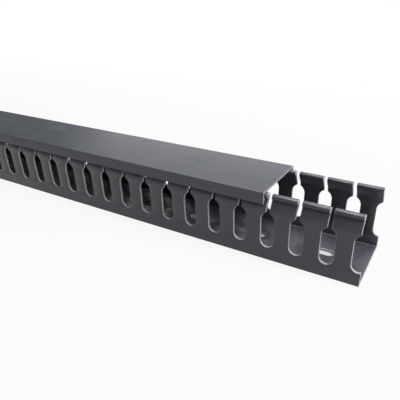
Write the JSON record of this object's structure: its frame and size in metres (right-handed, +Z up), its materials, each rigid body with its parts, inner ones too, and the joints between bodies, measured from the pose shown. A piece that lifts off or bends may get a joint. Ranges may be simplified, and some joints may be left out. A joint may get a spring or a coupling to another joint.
{
  "type": "slotted wiring duct with cover",
  "caption": "Open-slot wiring duct: a channel with slotted side walls and a clip-on cover that slides along it, slid back from one end.",
  "frame": {"origin": "middle of the channel's underside, half way along it and half way across", "axes": "+X along the duct towards the end that the cover leaves open, +Y across it, +Z up out of the channel towards the cover"},
  "size_m": [1.0653, 0.051, 0.0491],
  "materials": {
    "channel_plastic": "semi-matt extruded rigid PVC, dark grey, with paler punched edges",
    "cover_plastic": "semi-matt extruded rigid PVC, dark grey, with a soft sheen on the flat top"
  },
  "bodies": {
    "channel": {"slotted_channel": "channel_plastic"},
    "cover": {"clip_cover": "cover_plastic"}
  },
  "joints": [
    {"name": "cover_slide", "type": "slide", "parent": "channel", "child": "cover", "axis": [1, 0, 0], "range_m": [-0.434, 0.0653]}
  ]
}
